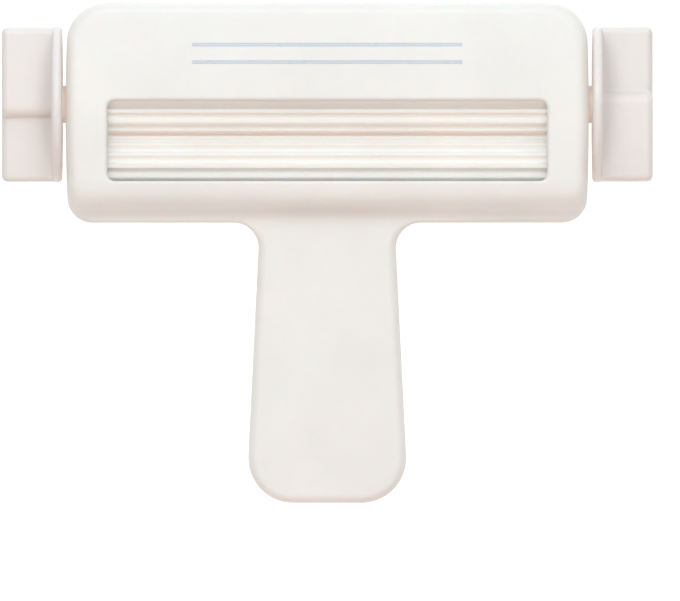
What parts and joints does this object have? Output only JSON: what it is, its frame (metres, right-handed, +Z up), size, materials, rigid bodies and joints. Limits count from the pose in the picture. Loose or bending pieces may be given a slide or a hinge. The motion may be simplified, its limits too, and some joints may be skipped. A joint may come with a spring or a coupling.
{
  "type": "hand paper crimper",
  "caption": "Hand-held paper crimper: T-shaped plastic body with ribbed rollers behind a window, winged turning knobs and a sprung squeeze lever behind the grip.",
  "frame": {"origin": "on the table under the middle of the crimper as it lies on its flat back", "axes": "+X along the rollers, +Y from the end of the grip towards the head, +Z up out of the front face"},
  "size_m": [0.2474, 0.19, 0.0606],
  "materials": {
    "shell": "warm white satin moulding",
    "stripe": "pale blue inlay",
    "lever": "warm white satin moulding",
    "knob": "warm white satin moulding",
    "roller": "cream moulding, smooth ribs",
    "bush": "natural bearing plastic",
    "shaft_steel": "ground steel bar",
    "fastener_steel": "zinc plated steel",
    "spring_steel": "bright spring wire"
  },
  "bodies": {
    "frame": {"front_housing": "shell", "rear_housing": "shell", "grip_back_cover": "shell", "stripe_inlays": "stripe", "drive_bush_left": "bush", "drive_bush_right": "bush", "pivot_pin_left": "shaft_steel", "pivot_pin_right": "shaft_steel", "pivot_clips": "fastener_steel", "housing_screws": "fastener_steel", "grip_cover_screws": "fastener_steel", "return_spring": "spring_steel"},
    "drive": {"drive_shaft": "shaft_steel", "drive_roller": "roller", "drive_roller_pins": "shaft_steel", "thrust_washers": "fastener_steel", "knob_left": "knob", "knob_right": "knob", "knob_screws": "fastener_steel"},
    "lever": {"squeeze_lever": "lever", "idler_axle": "shaft_steel", "idler_clips": "fastener_steel"},
    "idler": {"idler_roller": "roller", "idler_bush_left": "bush", "idler_bush_right": "bush"}
  },
  "joints": [
    {"name": "drive_spin", "type": "hinge", "parent": "frame", "child": "drive", "pos_m": [0, 0.0565, 0.031], "axis": [1, 0, 0], "continuous": true},
    {"name": "lever_squeeze", "type": "hinge", "parent": "frame", "child": "lever", "pos_m": [0, 0.045, 0.013], "axis": [-1, 0, 0], "range_deg": [0, 3.5], "stiffness_Nm_per_rad": 4.5, "springref_deg": -5.73, "deforming": ["return_spring"]},
    {"name": "idler_spin", "type": "hinge", "parent": "lever", "child": "idler", "pos_m": [0, 0.03332, 0.03032], "axis": [1, 0, 0], "continuous": true}
  ],
  "couplings": [
    {"joint": "idler_spin", "follows": "drive_spin", "ratio": -1}
  ]
}
